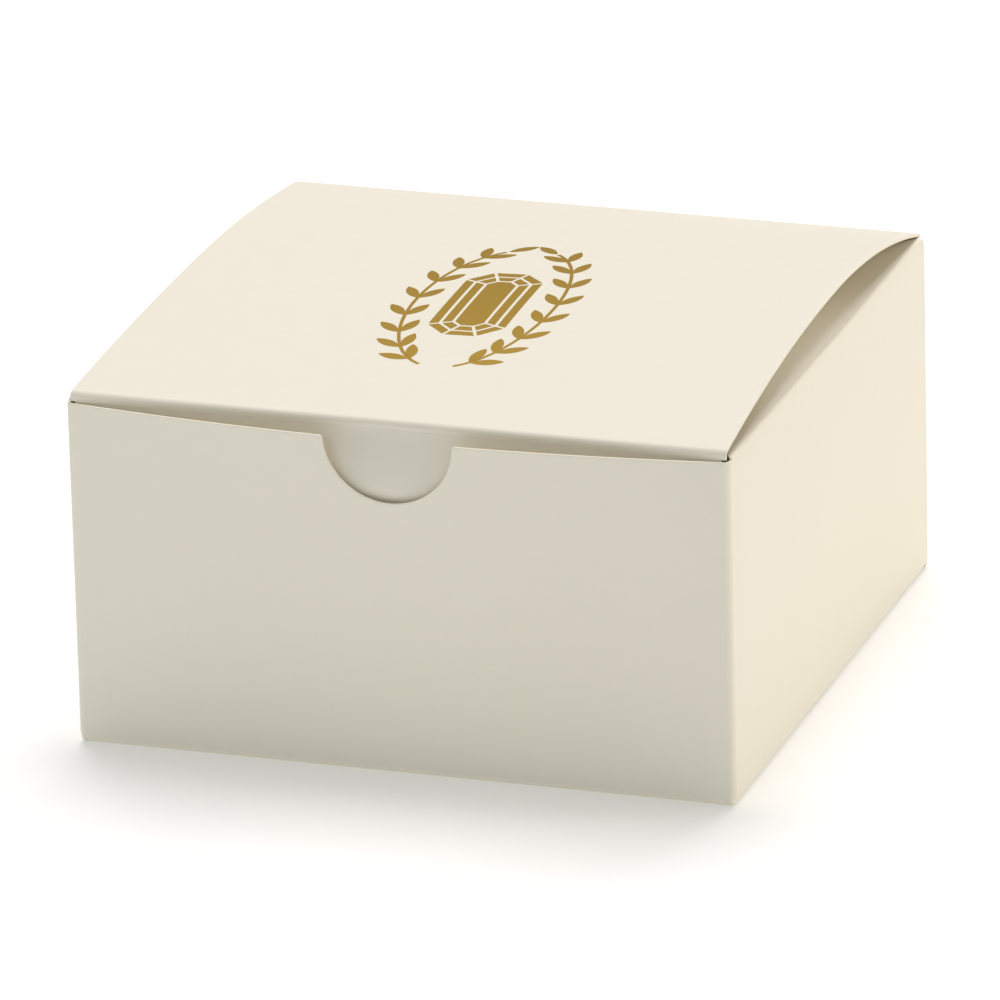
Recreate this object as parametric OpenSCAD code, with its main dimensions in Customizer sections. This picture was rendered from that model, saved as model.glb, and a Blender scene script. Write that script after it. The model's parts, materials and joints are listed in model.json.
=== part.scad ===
// Folding gift carton for jewelry: four walls, a snap-lock bottom, a domed tuck-top lid,
// two dust flaps and a gold foil mark. Front wall faces -Y, the lid hinges along the back.

/* [Carton] */
// Outside width of the carton, left to right
box_w = 102.5; // [80:0.5:140]
// Outside depth of the carton, front to back
box_d = 102.5; // [80:0.5:140]
// Height of the four walls above the table
wall_h = 54; // [35:0.5:90]
// Thickness of the board
board = 0.45; // [0.36:0.01:0.55]
// Outside radius of the four upright corner scores
corner_r = 1; // [0.8:0.05:1.3]

/* [Thumb notch] */
// Width of the half-round notch in the front wall
notch_w = 20; // [10:0.5:30]

/* [Lid] */
// Height of the lid's crown above the walls
lid_rise = 7.2; // [6.5:0.1:13]
// Distance from the middle of the box back to the crown
crown_back = 6.5; // [-5:0.5:15]
// Distance from each side wall's outer face in to the lid's cut edge
lid_inset = 0.6; // [0.4:0.1:1.5]
// Radius of the rounded score beads that the lid and the dust flaps turn on
bead_r = 0.45; // [0.4:0.01:0.6]
// Radius of the fold between the lid and the tuck flap
fold_r = 0.7; // [0.6:0.05:1]
// Height of that fold's centre above the front wall's cut edge
fold_lift = 0.7; // [0.7:0.05:1.5]
// Distance from the front wall's inner face to that fold
fold_gap = 0.25; // [0.2:0.05:0.8]

/* [Tuck flap] */
// Length of the tuck flap from its fold to its free edge
tuck_len = 18; // [12:0.5:24]
// Angle by which the tuck flap leans in from upright
tuck_lean = 9; // [8:0.5:14]
// Radius of the tuck flap's two free corners
tuck_corner_r = 10; // [4:0.5:11]
// Distance from each side wall's inner face in to the tuck flap
tuck_side_gap = 0.9; // [0.6:0.1:3]

/* [Dust flaps] */
// Length of a dust flap from its score to its free edge
dust_len = 38; // [20:0.5:38]
// Angle by which a dust flap springs up from level when the lid is shut
dust_tilt = 3; // [1:0.5:5]
// Distance from the front and back faces in to a dust flap's score
dust_end_gap = 4; // [4:0.5:8]
// How far a dust flap's front edge slants back over its length
dust_front_slant = 10; // [4:0.5:20]
// How far a dust flap's back edge slants forward over its length
dust_back_slant = 13; // [12:0.5:24]
// Radius of a dust flap's free corners
dust_corner_r = 4; // [2:0.5:8]

/* [Bottom] */
// Space between two layers of the folded bottom
ply_gap = 0.05; // [0.03:0.01:0.1]
// Distance from the middle of the box forward to the line where the bottom locks
lock_line = 1; // [-5:0.5:5]
// Width of the locking tongue
tongue_w = 40; // [24:1:50]
// Length of the locking tongue past the lock line
tongue_len = 18; // [10:0.5:24]
// How far the back flap's shoulders pass the lock line
shoulder_len = 12; // [6:0.5:20]
// How far the bottom flaps' ends slant in over their length
bottom_slant = 6; // [3:0.5:12]

/* [Glue seam] */
// Width of the glue tab
tab_w = 14; // [10:0.5:18]
// How far the glue tab's ends slant in over its width
tab_slant = 4; // [2:0.5:6]
// Thickness of the film of glue
glue_t = 0.05; // [0.03:0.01:0.1]
// Margin from the tab's free edge to the glue
glue_margin = 1.5; // [1:0.25:3]

/* [Foil mark] */
// Thickness of the stamped foil
foil_t = 0.04; // [0.03:0.01:0.08]
// Distance from the middle of the box forward to the centre of the mark
mark_y = 8; // [0:0.5:20]
// Half the width of the wreath's stems
wreath_a = 11; // [8:0.5:20]
// Half the height of the wreath's stems
wreath_b = 24.5; // [12:0.5:30]
// Length of one leaf
leaf_len = 5; // [3:0.25:8]
// Width of one leaf
leaf_w = 1.8; // [1:0.1:3]
// Pairs of leaves on each sprig
leaf_pairs = 8; // [4:1:12]
// Width of the gem
gem_w = 12.5; // [6:0.5:16]
// Height of the gem
gem_h = 26; // [8:0.5:30]
// Width of the bare lines between the gem's facets
gem_line = 0.5; // [0.3:0.05:0.8]

/* [Hidden] */

ivory = "ivory";
gold = "goldenrod";
$fn = 48;
arc_fn = 720;               // facets of the lid's large circles
flap_fn = 32;               // facets of the dust flaps' corners
cut = 1;                    // extra length of a cutter past what it cuts

half_w = box_w / 2;
half_d = box_d / 2;
ply = board + ply_gap;      // pitch of the bottom's layers
foot_r = 3 * board + 2 * ply_gap;  // rounded foot, as deep as the three layers that meet it
foot_clear = 0.3;           // space between a bottom flap's end and the next foot
score_play = 0.05;          // running space between a turning panel and its bead
root_h = 1.2;               // board below a bead's axis that belongs to the score
seam_inset = 0.35;          // cut edge of the back wall, in from the left face
tab_end_gap = 1;            // glue tab's ends, clear of the bottom and the top

seam_y = half_d - board - glue_t;  // outer face of the glue tab
hinge_y = half_d - bead_r;  // lid score's axis
fold_y = -half_d + board + fold_gap + fold_r;  // tuck fold's axis
fold_z = wall_h + fold_lift;

// The lid's middle line is two circular arcs that meet level at the crown, one from each score
crown = [crown_back, wall_h + lid_rise - board / 2];
arc_ends = [[fold_y, fold_z + fold_r - board / 2], [hinge_y, wall_h + bead_r - board / 2]];
function arc_r(end) = (pow(end[0] - crown[0], 2) + pow(end[1] - crown[1], 2)) / (2 * (crown[1] - end[1]));
lid_w = box_w - 2 * lid_inset;
fold_d = 2 * fold_r;
fold_root = fold_d;         // length of lid board that belongs to the tuck fold

// Profiles drawn as (Y, Z) and run along X
module run_x(len) rotate([90, 0, 90]) linear_extrude(len, center = true) children();

// Profiles drawn as (X, Z) and run along Y
module run_y(len) rotate([90, 0, 0]) linear_extrude(len, center = true) children();

// Quarter ring of board around an upright corner, turned to face its corner
module upright_score(x, y, turn, low, high)
    translate([x, y, low]) rotate(turn) linear_extrude(high - low) intersection() {
        difference() {
            circle(corner_r);
            circle(corner_r - board);
        }
        square(corner_r + cut);
    }

// Rounded foot below a wall, as a (depth, height) profile with its outer face at 0
module foot_profile() intersection() {
    translate([foot_r, foot_r]) circle(foot_r);
    square(foot_r);
}

// Bead with the strip of board below it, as a profile with the axis at 0 and the wall on the -1 side
module bead_profile() {
    circle(bead_r);
    translate([-bead_r, -root_h]) square([board, root_h]);
}

// The layer of the lid between two heights above its middle line, ends cut square to the arcs
module lid_layer(low, high) for (end = arc_ends) {
    r = arc_r(end);
    centre = [crown[0], crown[1] - r];
    intersection() {
        translate(centre) difference() {
            circle(r + high, $fn = arc_fn);
            circle(r + low, $fn = arc_fn);
        }
        polygon([centre, end * 2 - centre, crown * 2 - centre]);
    }
}

// The part of a profile within a given distance in front of the tuck fold's axis
module fold_side(reach) intersection() {
    children();
    translate([fold_y - fold_r, fold_z - fold_r]) square([fold_r + reach, 2 * fold_d]);
}

// Walls
module front_wall() color(ivory) difference() {
    translate([-half_w + corner_r, -half_d, foot_r])
        cube([box_w - 2 * corner_r, board, wall_h - foot_r]);
    translate([0, -half_d - cut, wall_h]) rotate([-90, 0, 0])
        cylinder(d = notch_w, h = board + 2 * cut);
}
module back_wall() color(ivory)
    translate([-half_w + seam_inset, half_d - board, foot_r])
        cube([box_w - seam_inset - corner_r, board, wall_h - root_h - foot_r]);
module side_wall(back_y) color(ivory)
    translate([0, -half_d + corner_r, foot_r])
        cube([board, back_y + half_d - corner_r, wall_h - root_h - foot_r]);
module left_wall() translate([-half_w, 0, 0]) side_wall(seam_y - corner_r);
module right_wall() translate([half_w - board, 0, 0]) side_wall(half_d - corner_r);

// Upright corner scores
score_low = board;          // the corners stop one board above the table
score_high = wall_h - root_h;
module front_left_crease() color(ivory)
    upright_score(-half_w + corner_r, -half_d + corner_r, 180, score_low, score_high);
module front_right_crease() color(ivory)
    upright_score(half_w - corner_r, -half_d + corner_r, 270, score_low, score_high);
module back_right_crease() color(ivory)
    upright_score(half_w - corner_r, half_d - corner_r, 0, score_low, score_high);
module seam_crease() color(ivory)
    upright_score(-half_w + corner_r, seam_y - corner_r, 90, foot_r + tab_end_gap, score_high);

// Glue seam, the tab drawn as (X, Z) from its score
tab_low = foot_r + tab_end_gap;
tab_x = -half_w + corner_r;
module tab_outline(w, margin) polygon([
    [0, tab_low + margin], [w, tab_low + tab_slant + margin],
    [w, score_high - tab_slant - margin], [0, score_high - margin]]);
module glue_tab() color(ivory)
    translate([tab_x, seam_y, 0]) rotate([90, 0, 0]) linear_extrude(board) tab_outline(tab_w, 0);
module seam_glue() color("wheat")
    translate([tab_x, seam_y + glue_t, 0]) rotate([90, 0, 0]) linear_extrude(glue_t)
        tab_outline(tab_w - glue_margin, glue_margin);

// Bottom feet
module foot_x() color(ivory) translate([0, -half_d, 0])
    run_x(box_w - 2 * (foot_r + ply_gap)) foot_profile();
module foot_y() color(ivory) translate([-half_w, 0, 0])
    run_y(box_d - 2 * (foot_r + ply_gap)) foot_profile();
module front_bottom_crease() foot_x();
module back_bottom_crease() rotate(180) foot_x();
module left_bottom_crease() foot_y();
module right_bottom_crease() rotate(180) foot_y();

// Bottom flaps: a tapered outline from its foot to a free edge, in layer 0, 1, 2 or 3
module tapered(half_width, from, to) polygon([
    [-half_width, from], [half_width, from],
    [half_width - bottom_slant, to], [-half_width + bottom_slant, to]]);
module in_layer(n) translate([0, 0, n * ply]) linear_extrude(board) children();
flap_half_w = half_w - foot_r - foot_clear;
flap_half_d = half_d - foot_r - foot_clear;
recess_clear = 1;           // space beside the tongue in the back flap's recess
lock_y = -lock_line;
module front_bottom_flap() color(ivory) in_layer(0)
    tapered(flap_half_w, -half_d + foot_r, lock_y);
module side_bottom_flap() color(ivory) in_layer(1) rotate(-90)
    tapered(flap_half_d, -half_w + foot_r, -tongue_w / 2 - 2 * recess_clear);
module left_bottom_flap() side_bottom_flap();
module right_bottom_flap() rotate(180) side_bottom_flap();
module back_bottom_flap() color(ivory) in_layer(2) difference() {
    rotate(180) tapered(flap_half_w, -half_d + foot_r, -lock_y + shoulder_len);
    translate([-tongue_w / 2 - recess_clear, lock_y - shoulder_len - cut])
        square([tongue_w + 2 * recess_clear, shoulder_len + cut + board + foot_clear]);
}
module lock_tongue() color(ivory) {
    translate([-tongue_w / 2, lock_y, 0]) cube([tongue_w, board, 3 * ply + board]);
    in_layer(3) rounded_end(tongue_w, lock_y + board, lock_y + board + tongue_len, tongue_len / 2);
}

// Rectangle from one Y to another with its two far corners rounded
module rounded_end(width, from, to, r) {
    translate([-width / 2, from]) square([width, to - from - r]);
    translate([-width / 2 + r, to - r]) square([width - 2 * r, r]);
    for (turn = [0, 90]) translate([(turn == 0 ? 1 : -1) * (width / 2 - r), to - r]) rotate(turn)
        intersection() {
            circle(r);
            square(r);
        }
}

// Scores at the top of the walls
module lid_crease() color(ivory) translate([0, hinge_y, wall_h])
    run_x(box_w - 2 * corner_r) mirror([1, 0]) bead_profile();
module flap_crease() color(ivory) translate([-half_w + bead_r, 0, wall_h])
    run_y(box_d - 2 * dust_end_gap) bead_profile();
module left_flap_crease() flap_crease();
module right_flap_crease() mirror([1, 0, 0]) flap_crease();

// Lid
module lid_panel() color(ivory) run_x(lid_w) difference() {
    lid_layer(-board / 2, board / 2);
    translate([hinge_y - bead_r - score_play, wall_h - board]) square(2 * (bead_r + board) + cut);
    translate([fold_y - fold_d, fold_z - fold_r]) square([fold_d + fold_root, 2 * fold_d]);
}
module tuck_crease() color(ivory) run_x(lid_w) {
    translate([fold_y, fold_z]) circle(fold_r);
    fold_side(fold_root) lid_layer(-board / 2, board / 2);
}

// Tuck flap, drawn flat as (X, distance from the fold) and stood up behind the front wall
tuck_w = box_w - 2 * (board + tuck_side_gap);
module tuck_flap() color(ivory) difference() {
    translate([0, fold_y, fold_z]) rotate([tuck_lean - 90, 0, 0])
        translate([0, 0, -fold_r]) linear_extrude(board)
            rounded_end(tuck_w, 0, tuck_len, tuck_corner_r);
    translate([0, fold_y, fold_z]) run_x(box_w) circle(fold_r + score_play);
}

// Dust flaps, drawn flat as (distance from the score, Y) and tilted up about the score
dust_front = -half_d + dust_end_gap;
dust_back = half_d - dust_end_gap;
module dust_outline() hull() {
    translate([0, dust_front]) square([dust_corner_r, dust_back - dust_front]);
    translate([dust_len - dust_corner_r, dust_front + dust_front_slant + dust_corner_r])
        circle(dust_corner_r, $fn = flap_fn);
    translate([dust_len - dust_corner_r, dust_back - dust_back_slant - dust_corner_r])
        circle(dust_corner_r, $fn = flap_fn);
}
module dust_flap() color(ivory) difference() {
    translate([-half_w + bead_r, 0, wall_h]) rotate([0, -dust_tilt, 0])
        translate([0, 0, bead_r - board]) linear_extrude(board) dust_outline();
    translate([-half_w + bead_r, 0, wall_h]) run_y(box_d) circle(bead_r + score_play);
}
module left_dust_flap() dust_flap();
module right_dust_flap() mirror([1, 0, 0]) dust_flap();

// Foil, drawn flat and laid on the lid's outer face
module on_lid() color(gold) intersection() {
    translate([0, -mark_y, wall_h]) linear_extrude(lid_rise + cut) children();
    run_x(lid_w) lid_layer(board / 2, board / 2 + foil_t);
}

// A leaf is where two equal circles overlap, its stalk end at 0
leaf_r = (pow(leaf_len, 2) + pow(leaf_w, 2)) / (4 * leaf_w);
module leaf() translate([leaf_len / 2, 0]) intersection() {
    translate([0, leaf_r - leaf_w / 2]) circle(leaf_r);
    translate([0, -leaf_r + leaf_w / 2]) circle(leaf_r);
}

// A sprig climbs one side of an oval; angles count up from its lowest point
sprig_from = 14;            // where the sprig starts
sprig_to = 158;             // where it ends
bare_stalk = 10;            // angle of bare stem below the first leaves
leaf_from = sprig_from + bare_stalk;
stem_steps = 24;
leaf_turn = 32;             // angle between a leaf and its stem
leaf_stand = 0.45;          // space between a leaf's stalk end and the stem's middle
stem_w = 0.55;              // width of the stem
function oval(t) = [wreath_a * sin(t), -wreath_b * cos(t)];
function oval_heading(t) = atan2(wreath_b * sin(t), wreath_a * cos(t));
module sprig() {
    stem_ts = [for (i = [0:stem_steps]) sprig_from + (sprig_to - sprig_from) * i / stem_steps];
    polygon(concat(
        [for (t = stem_ts) oval(t) + stem_w / 2 * [cos(oval_heading(t) + 90), sin(oval_heading(t) + 90)]],
        [for (i = [stem_steps:-1:0]) let (t = stem_ts[i])
            oval(t) - stem_w / 2 * [cos(oval_heading(t) + 90), sin(oval_heading(t) + 90)]]));
    for (i = [0:leaf_pairs - 1], side = [-1, 1]) {
        t = leaf_from + (sprig_to - leaf_from) * i / leaf_pairs;
        translate(oval(t)) rotate(oval_heading(t) + side * leaf_turn) translate([leaf_stand, 0]) leaf();
    }
    translate(oval(sprig_to)) rotate(oval_heading(sprig_to)) translate([leaf_stand, 0]) leaf();
}
module foil_wreath() on_lid() {
    sprig();
    mirror([1, 0]) sprig();
}

// Step-cut gem seen from above: two rings of filled facets around a filled table, with bare lines between
gem_steps = [1, 0.7, 0.4];  // sizes of the outline, of the step and of the table
gem_cut = 0.286;            // length cut off each corner, as a share of the gem's width
gem_corner = gem_w * gem_cut;
function cut_rect(w, h, c) = [
    [w / 2, h / 2 - c], [w / 2 - c, h / 2], [-w / 2 + c, h / 2], [-w / 2, h / 2 - c],
    [-w / 2, -h / 2 + c], [-w / 2 + c, -h / 2], [w / 2 - c, -h / 2], [w / 2, -h / 2 + c]];
function gem_ring(k) = cut_rect(gem_w * gem_steps[k], gem_h - gem_w * (1 - gem_steps[k]),
    gem_corner * gem_steps[k]);
module foil_gem() on_lid() {
    last = len(gem_steps) - 1;
    corners = len(gem_ring(0));
    for (k = [0:last - 1], i = [0:corners - 1]) {
        j = (i + 1) % corners;
        offset(delta = -gem_line / 2)
            polygon([gem_ring(k)[i], gem_ring(k)[j], gem_ring(k + 1)[j], gem_ring(k + 1)[i]]);
    }
    offset(delta = -gem_line / 2) polygon(gem_ring(last));
}

front_wall();
back_wall();
left_wall();
right_wall();
front_left_crease();
front_right_crease();
back_right_crease();
seam_crease();
glue_tab();
seam_glue();
front_bottom_flap();
back_bottom_flap();
left_bottom_flap();
right_bottom_flap();
lock_tongue();
front_bottom_crease();
back_bottom_crease();
left_bottom_crease();
right_bottom_crease();
lid_crease();
left_flap_crease();
right_flap_crease();
lid_panel();
tuck_crease();
foil_wreath();
foil_gem();
tuck_flap();
left_dust_flap();
right_dust_flap();
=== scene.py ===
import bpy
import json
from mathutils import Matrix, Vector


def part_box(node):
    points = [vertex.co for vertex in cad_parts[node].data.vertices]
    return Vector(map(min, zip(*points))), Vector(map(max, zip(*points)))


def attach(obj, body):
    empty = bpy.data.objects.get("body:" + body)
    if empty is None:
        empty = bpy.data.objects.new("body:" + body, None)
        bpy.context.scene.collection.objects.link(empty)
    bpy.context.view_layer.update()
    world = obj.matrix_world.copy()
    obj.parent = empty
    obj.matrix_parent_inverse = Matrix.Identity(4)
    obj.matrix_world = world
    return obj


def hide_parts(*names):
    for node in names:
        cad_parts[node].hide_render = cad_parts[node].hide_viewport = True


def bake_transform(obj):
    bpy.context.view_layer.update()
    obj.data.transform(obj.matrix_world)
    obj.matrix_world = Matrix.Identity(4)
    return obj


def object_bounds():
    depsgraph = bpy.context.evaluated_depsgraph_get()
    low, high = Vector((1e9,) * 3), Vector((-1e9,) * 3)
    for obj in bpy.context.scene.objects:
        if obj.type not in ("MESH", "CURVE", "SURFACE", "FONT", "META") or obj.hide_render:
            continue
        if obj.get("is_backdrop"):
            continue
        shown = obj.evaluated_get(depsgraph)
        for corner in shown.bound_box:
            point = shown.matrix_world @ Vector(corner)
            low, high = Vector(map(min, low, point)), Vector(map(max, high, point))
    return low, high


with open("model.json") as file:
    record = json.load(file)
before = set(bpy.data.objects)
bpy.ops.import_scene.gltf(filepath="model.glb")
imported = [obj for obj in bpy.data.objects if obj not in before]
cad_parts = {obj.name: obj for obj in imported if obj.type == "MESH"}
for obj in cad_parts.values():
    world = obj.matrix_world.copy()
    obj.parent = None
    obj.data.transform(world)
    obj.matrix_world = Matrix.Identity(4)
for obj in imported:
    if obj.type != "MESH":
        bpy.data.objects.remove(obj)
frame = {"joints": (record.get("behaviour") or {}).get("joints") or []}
cadLow, cadHigh = (list(corner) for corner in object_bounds())

import json
import math

import bpy
import numpy as np
from mathutils import Matrix, Vector

mm = 0.001
xAxis, yAxis, zAxis = np.eye(3)


def boxOf(node):
    # Lowest and highest corner of a CAD node at rest
    low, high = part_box(node)
    return np.array(low), np.array(high)


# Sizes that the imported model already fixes
frontLow, frontHigh = boxOf("front_wall")
sideHigh = boxOf("right_wall")[1]
backLow = boxOf("back_wall")[0]
lidHigh = boxOf("lid_panel")[1]
tuckHigh = boxOf("tuck_flap")[1]
flapCreaseHigh = boxOf("right_flap_crease")[1]
joints = {joint["name"]: joint for joint in frame["joints"]}
lidAxis = np.array(joints["lid_hinge"]["pos_m"])
foldAxis = np.array(joints["tuck_hinge"]["pos_m"])
flapAxis = np.array(joints["right_flap_hinge"]["pos_m"])
halfW = cadHigh[0]
halfD = cadHigh[1]
wallTop = frontHigh[2]
board = frontHigh[1] - frontLow[1]
footR = frontLow[2]
cornerR = halfW - frontHigh[0]
rootTop = sideHigh[2]                # where the side and back walls give way to their top scores
lidHalf = lidHigh[0]
tuckHalf = tuckHigh[0]
dustEnd = flapCreaseHigh[1]          # how far the dust flaps' scores reach from the middle
flapFront = 1.35 * mm - halfD        # where the dust flaps' scores start, close behind the front corners
flapBack = {1: halfD - 2.2 * mm, -1: dustEnd}      # and where they end, on the right and on the left
sideName = {1: "right", -1: "left"}
beadR = halfD - lidAxis[1]

# Cut edges: rounded at both shoulders and worn for a little way in, with a share of that on joined sides.
# thinShare bounds a film's radius by its thickness; bent is the sine of the least turn solved as a corner;
# crisp is the angle in degrees from which two faces meet in a sharp line
edge = {"radius": 0.11 * mm, "steps": 3, "wear": 0.3 * mm, "joined": 0.02, "thinShare": 0.45,
        "bent": 0.3, "crisp": 40}


def shoulder(distance, thickness):
    # Half thickness at distance d in from a cut edge: T/2 - r + sqrt(r^2 - (r - min(d, r))^2)
    r = edge["radius"]
    run = np.clip(distance, 0, r)
    return thickness / 2 - r + np.sqrt(r * r - (r - run) ** 2)


def stationsBetween(low, high, count):
    # Positions from one cut edge to the other: r (1 - cos a) at each edge, the wear band, and even steps
    # between them
    r = edge["radius"]
    ramp = r * (1 - np.cos(np.linspace(0, np.pi / 2, edge["steps"] + 1)))
    ramp = np.append(ramp, r + edge["wear"])
    inner = np.linspace(low + ramp[-1], high - ramp[-1], count)[1:-1]
    return np.concatenate([low + ramp, inner, (high - ramp)[::-1]])


def rimOf(distance):
    # 1 on a cut edge and its shoulders, falling to 0 across the wear band
    return np.clip(1 - (distance - edge["radius"]) / edge["wear"], 0, 1)


def eased(low, high, count):
    # Positions crowded towards both ends: low + (high - low) (1 - cos a) / 2
    return low + (high - low) * (1 - np.cos(np.linspace(0, np.pi, count))) / 2


def unit(vectors):
    return vectors / np.linalg.norm(vectors, axis=-1, keepdims=True)


def quads(a, b, c, d):
    return np.stack([a, b, c, d], -1).reshape(-1, 4)


def sheet(mid, normal, half, rim=0.0, score=0.0):
    # Two skins p + h n and p - h n of a middle surface p(u, v), joined round the four sides of each patch.
    # Arrays are (patch, u, v, xyz)
    mid = np.asarray(mid, float)
    normal = np.broadcast_to(normal, mid.shape)
    half, rim, score = (np.broadcast_to(value, mid.shape[:3]) for value in (half, rim, score))
    turned = np.cross(mid[0, 1, 0] - mid[0, 0, 0], mid[0, 0, 1] - mid[0, 0, 0]) @ normal[0, 0, 0]
    if turned < 0:
        mid, normal, half, rim, score = (value[:, :, ::-1] for value in (mid, normal, half, rim, score))
    offset = normal * half[..., None]
    points = np.stack([mid + offset, mid - offset], 1)
    patches, _, across, along, _ = points.shape
    o, i = np.arange(2 * across * along).reshape(2, across, along)
    faces = np.concatenate([
        quads(o[:-1, :-1], o[1:, :-1], o[1:, 1:], o[:-1, 1:]),
        quads(i[:-1, :-1], i[:-1, 1:], i[1:, 1:], i[1:, :-1]),
        quads(i[0, 1:], i[0, :-1], o[0, :-1], o[0, 1:]),
        quads(i[-1, :-1], i[-1, 1:], o[-1, 1:], o[-1, :-1]),
        quads(i[:-1, 0], i[1:, 0], o[1:, 0], o[:-1, 0]),
        quads(i[1:, -1], i[:-1, -1], o[:-1, -1], o[1:, -1])])
    starts = np.arange(patches)[:, None, None] * (2 * across * along)
    side = np.stack([np.ones(mid.shape[:3]), -np.ones(mid.shape[:3])], 1)
    return {
        "points": points.reshape(-1, 3),
        "faces": (faces[None] + starts).reshape(-1, 4).tolist(),
        "side": side.ravel(),
        "rim": np.stack([rim, rim], 1).ravel(),
        "score": np.stack([score, score], 1).ravel()}


def acrossEdges(distance):
    # Half thickness and rim of a sheet of board whose first direction runs from cut edge to cut edge
    return shoulder(distance, board)[None, :, None], rimOf(distance)[None, :, None]


def rounded(corners, radii, cuts, steps=6):
    # Outline whose corners become arcs tangent to both sides: tangent length r tan(turn / 2).
    # A corner with no radius stays one point. cuts says which sides are cut edges
    corners = np.array(corners, float)
    radii = np.array(radii, float)
    cuts = np.array(cuts, bool)
    before = unit(corners - np.roll(corners, 1, 0))
    after = unit(np.roll(corners, -1, 0) - corners)
    turn = np.arctan2(before[:, 0] * after[:, 1] - before[:, 1] * after[:, 0], (before * after).sum(1))
    start = corners - before * (radii * np.tan(np.abs(turn) / 2))[:, None]
    toCentre = np.stack([-before[:, 1], before[:, 0]], 1) * (np.sign(turn) * radii)[:, None]
    angle = turn[:, None] * np.linspace(0, 1, steps + 1)
    spoke = -toCentre[:, None]
    c, s = np.cos(angle), np.sin(angle)
    swung = np.stack([spoke[..., 0] * c - spoke[..., 1] * s, spoke[..., 0] * s + spoke[..., 1] * c], -1)
    points = (start + toCentre)[:, None] + swung
    flags = np.repeat((cuts & np.roll(cuts, 1))[:, None], steps + 1, 1)
    flags[:, -1] = cuts
    keep = np.ones(angle.shape, bool)
    keep[radii == 0, :-1] = False
    return points[keep], flags[keep]


def drawnIn(outline, insets):
    # Moves each side of a counter-clockwise outline in by its own inset: at a corner with unit normals
    # n1 and n2 the shift d solves d.n1 = a and d.n2 = b, and on a nearly straight run it is their mean
    sides = unit(np.roll(outline, -1, -2) - outline)
    n2 = np.stack([-sides[..., 1], sides[..., 0]], -1)
    n1 = np.roll(n2, 1, -2)
    b = insets
    a = np.roll(insets, 1, -1)
    turn = n1[..., 0] * n2[..., 1] - n1[..., 1] * n2[..., 0]
    bent = np.abs(turn) > edge["bent"]
    safe = np.where(bent, turn, 1)
    corner = np.stack([(a * n2[..., 1] - b * n1[..., 1]) / safe,
                       (b * n1[..., 0] - a * n2[..., 0]) / safe], -1)
    run = (n1 + n2) * ((a + b) / 2 / (1 + (n1 * n2).sum(-1)))[..., None]
    return outline + np.where(bent[..., None], corner, run)


def plate(outline, cuts, thickness, origin, across, up):
    # Flat board: the cut edge's profile carried round an outline, closed by two flat faces.
    # The outer face looks along across x up, and the outline runs counter-clockwise seen from there
    r = min(edge["radius"], thickness * edge["thinShare"])
    angle = np.linspace(0, np.pi / 2, edge["steps"] + 1)
    inset = np.append(r * (1 - np.cos(angle)), r + edge["wear"])
    height = np.append(thickness / 2 - r + r * np.sin(angle), thickness / 2)
    worn = np.append(np.ones(len(angle)), 0)
    inset = np.concatenate([inset[::-1], inset])
    height = np.concatenate([-height[::-1], height])
    worn = np.concatenate([worn[::-1], worn])
    share = np.where(cuts, 1, edge["joined"])
    rings = drawnIn(np.broadcast_to(outline, (len(inset),) + outline.shape), inset[:, None] * share)
    points = (origin + rings[..., :1] * across + rings[..., 1:] * up
              + height[:, None, None] * np.cross(across, up))
    count = len(outline)
    index = np.arange(len(inset) * count).reshape(len(inset), count)
    ahead = np.roll(index, -1, 1)
    faces = quads(index[:-1], ahead[:-1], ahead[1:], index[1:]).tolist()
    faces += [index[-1].tolist(), index[0, ::-1].tolist()]
    touched = cuts | np.roll(cuts, 1)
    return {
        "points": points.reshape(-1, 3),
        "faces": faces,
        "side": np.repeat(height / (thickness / 2), count),
        "rim": (worn[:, None] * touched).ravel(),
        "score": np.zeros(points.size // 3)}


def addObject(name, data):
    made = bpy.data.objects.new(name, data)
    bpy.context.scene.collection.objects.link(made)
    return made


def makePiece(name, parts, material, nodes):
    # One object from a list of parts, its three values per point kept as attributes
    starts = np.cumsum([0] + [len(part["points"]) for part in parts])
    mesh = bpy.data.meshes.new(name)
    points = np.concatenate([part["points"] for part in parts])
    faces = [[int(start) + corner for corner in face]
             for start, part in zip(starts, parts) for face in part["faces"]]
    mesh.from_pydata(points.tolist(), [], faces)
    mesh.polygons.foreach_set("use_smooth", np.ones(len(mesh.polygons), bool))
    mesh.set_sharp_from_angle(angle=math.radians(edge["crisp"]))
    for key in ("side", "rim", "score"):
        attribute = mesh.attributes.new(key, "FLOAT", "POINT")
        values = np.concatenate([part[key] for part in parts])
        attribute.data.foreach_set("value", values.astype(np.float32))
    mesh.materials.append(material)
    mesh.update()
    piece = addObject(name, mesh)
    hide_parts(*nodes)
    return piece


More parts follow.
